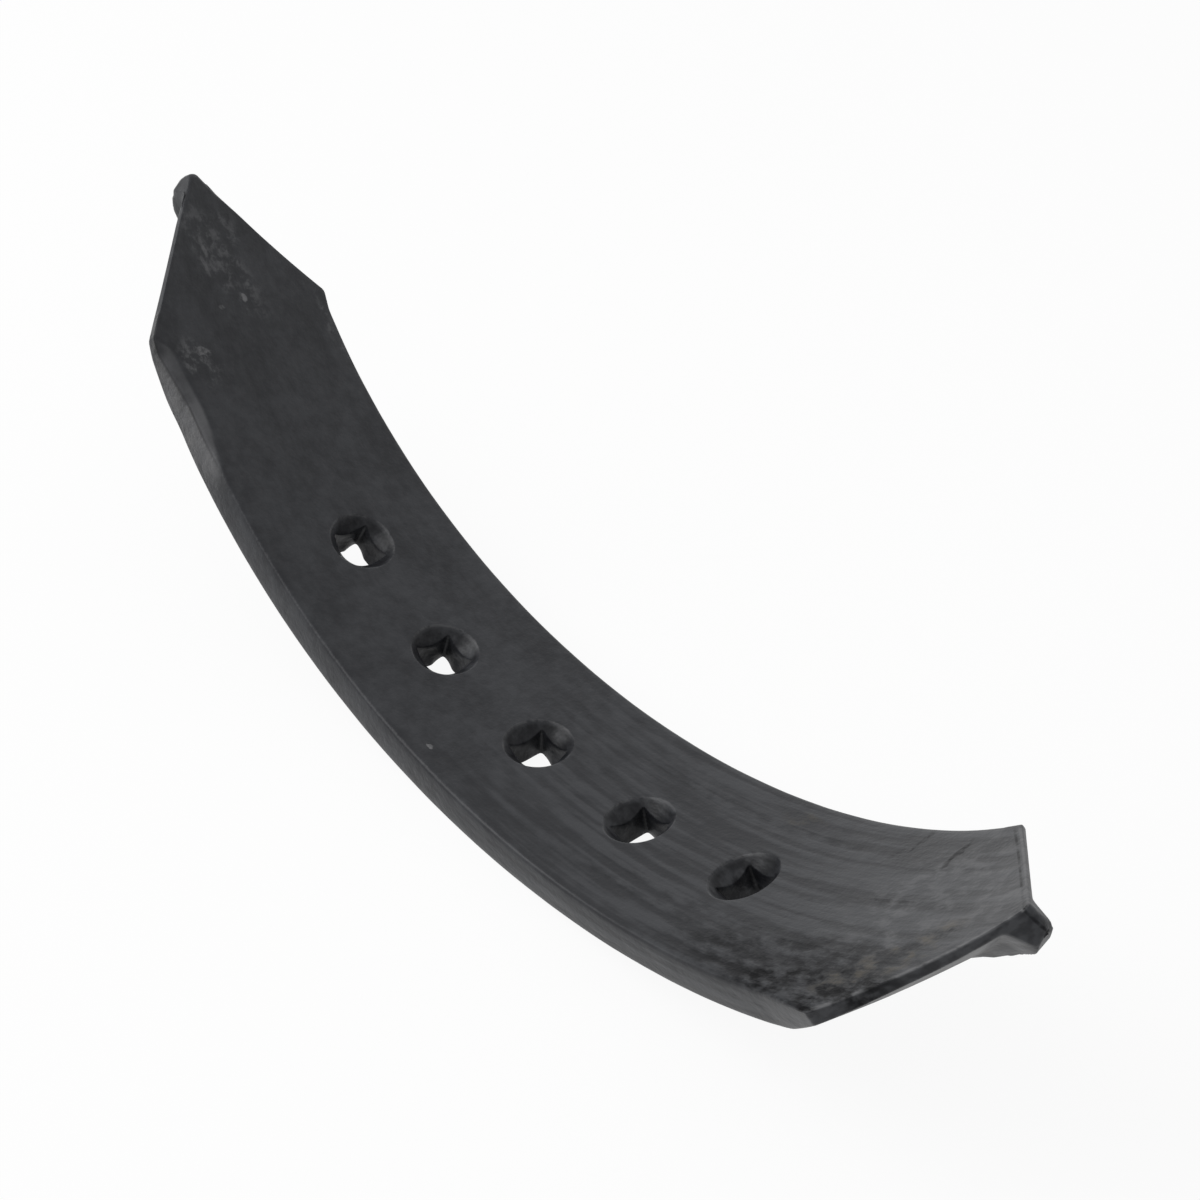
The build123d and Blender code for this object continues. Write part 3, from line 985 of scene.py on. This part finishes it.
FLOOR_WHITE = 0.92            # share of plain white in the floor that the camera sees
CAMERA_TURN = (2.04457, 1.00641, -0.46345)     # axis from the bar's frame, as long as the angle
CAMERA_SHIFT = (-0.02150, 0.04993, 1.04831)    # of the middle hole, as the camera sees it
FITTED_FOCAL = 3000           # focal length, in pixels, at which that shift was worked out


def seen_as_white(n):
    """1 for the rays that see the surroundings as plain white, and 0 for those that light the bar."""
    rays = n.add("ShaderNodeLightPath").outputs
    seen = n.larger(rays["Is Camera Ray"], rays["Is Glossy Ray"])
    return n.larger(seen, rays["Is Transmission Ray"])


def floor_material():
    """Pale floor that the camera and reflections see as white, with the object's soft shadow."""
    material = bpy.data.materials.new("pale_floor")
    n = empty_nodes(material)
    seen = seen_as_white(n)
    plain = n.add("ShaderNodeBsdfDiffuse", {"Color": (0.85, 0.85, 0.85, 1)})
    white = n.add("ShaderNodeEmission", {"Color": (1, 1, 1, 1), "Strength": 1.0})
    mixed = n.add("ShaderNodeMixShader", {0: n.times(seen, FLOOR_WHITE), 1: plain.outputs[0],
                                          2: white.outputs[0]})
    n.add("ShaderNodeOutputMaterial", {0: mixed.outputs[0]})
    return material


def make_stage(scene):
    """Floor, white room and overhead softbox."""
    stage = scene.plow_stage
    half = stage.floor_size / 2
    mesh = bpy.data.meshes.new("floor")
    mesh.from_pydata([(-half, -half, 0), (half, -half, 0), (half, half, 0), (-half, half, 0)], [],
                     [(0, 1, 2, 3)])
    mesh.materials.append(floor_material())
    placed(scene, "floor", mesh)
    world = bpy.data.worlds.new("white_room")
    n = empty_nodes(world)
    seen = seen_as_white(n)
    strength = n.add("ShaderNodeMapRange", {0: seen, 1: 0.0, 2: 1.0, 3: stage.world_light, 4: 1.0})
    sky = n.add("ShaderNodeBackground", {"Color": (1, 1, 1, 1), "Strength": strength.outputs[0]})
    n.add("ShaderNodeOutputWorld", {0: sky.outputs[0]})
    scene.world = world
    softbox(scene, "key_softbox", place=(-0.9, -0.9, 1.2), aim=(0, 0, 0.05),
            size=stage.softbox_size, power=stage.softbox_power)


def softbox(scene, name, place, aim, size, power):
    """Square area light that faces a point."""
    data = bpy.data.lights.new(name, "AREA")
    data.shape = "SQUARE"
    data.size = size
    data.energy = power
    lamp = placed(scene, name, data)
    lamp.location = place
    way = Vector(aim) - Vector(place)
    lamp.rotation_euler = way.to_track_quat("-Z", "Y").to_euler()


def make_camera(scene):
    """Camera at the photograph's own place, fitted to the bar's outline and holes in it."""
    focal = scene.plow_stage.focal_pixels
    turn = Vector(CAMERA_TURN)
    to_camera = Matrix.Rotation(turn.length, 3, turn.normalized())
    right, down, away = CAMERA_SHIFT
    shift = Vector((right, down, away * focal / FITTED_FOCAL))
    data = bpy.data.cameras.new("photo_camera")
    data.sensor_fit = "HORIZONTAL"
    data.sensor_width = 36.0
    data.lens = focal / FRAME_SIZE * data.sensor_width
    camera = placed(scene, "photo_camera", data)
    back = to_camera.transposed()
    place = Vector((0, 0, scene.plow_bar.thickness)) - back @ shift
    axes = back @ Matrix(((1, 0, 0), (0, -1, 0), (0, 0, -1)))
    camera.matrix_world = Matrix.Translation(place) @ axes.to_4x4()
    scene.camera = camera


# Operators, panel and registration

class PLOW_OT_forged_point(Operator):
    """Makes the forged bar and lets it stand for the plain one"""
    bl_idname = "plow.forged_point"
    bl_label = "Forge the plow point"

    def execute(self, context):
        piece = make_point(context.scene)
        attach(piece, BODY)
        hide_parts(NODE)
        return {"FINISHED"}


class PLOW_OT_stage(Operator):
    """Makes the pale floor, the soft light and the camera"""
    bl_idname = "plow.stage"
    bl_label = "Set the stage"

    def execute(self, context):
        make_stage(context.scene)
        make_camera(context.scene)
        return {"FINISHED"}


class PLOW_PT_panel(Panel):
    """Sizes and finish of the plow point"""
    bl_idname = "PLOW_PT_panel"
    bl_label = "Plow point"
    bl_space_type = "VIEW_3D"
    bl_region_type = "UI"
    bl_category = "Plow point"

    def draw(self, context):
        for group in SETTINGS:
            box = self.layout.box()
            settings = getattr(context.scene, group)
            for name in settings.bl_rna.properties.keys():
                if name not in ("rna_type", "name"):
                    box.prop(settings, name)
        self.layout.operator(PLOW_OT_forged_point.bl_idname)
        self.layout.operator(PLOW_OT_stage.bl_idname)


SETTINGS = {
    "plow_bar": BarSizes,
    "plow_holes": HoleSizes,
    "plow_v": PointSizes,
    "plow_right_end": EndSizes,
    "plow_left_end": EndSizes,
    "plow_finish": SteelFinish,
    "plow_stage": StageSizes,
}
CLASSES = (BarSizes, HoleSizes, PointSizes, EndSizes, SteelFinish, StageSizes,
           PLOW_OT_forged_point, PLOW_OT_stage, PLOW_PT_panel)

# The left end as it differs from the right one, whose sizes are the defaults
LEFT_END = {
    "reach": 0.27283, "offset": -0.00305, "near_station": 0.21009, "near_half": 0.04515,
    "far_station": 0.21831, "far_half": 0.04162, "near_flare": 0.03014, "far_flare": 0.00809,
    "near_bulge": -0.00137, "far_bulge": 0.00146, "near_sink": -0.00039, "far_sink": -0.00043,
    "near_lift": 0.00065, "far_lift": 0.00044, "near_land": 0.00452, "far_land": 0.00360,
    "nose_height": 0.00683, "far_ear": 0.0, "corner_wear": 0.0062,
}


def register():
    for cls in CLASSES:
        bpy.utils.register_class(cls)
    for name, cls in SETTINGS.items():
        setattr(bpy.types.Scene, name, PointerProperty(type=cls))


def unregister():
    for name in SETTINGS:
        delattr(bpy.types.Scene, name)
    for cls in reversed(CLASSES):
        bpy.utils.unregister_class(cls)


def main():
    register()
    scene = bpy.context.scene
    scene.view_settings.view_transform = "Standard"
    for name, value in LEFT_END.items():
        setattr(scene.plow_left_end, name, value)
    bpy.ops.plow.forged_point()
    bpy.ops.plow.stage()


if __name__ == "__main__":
    main()
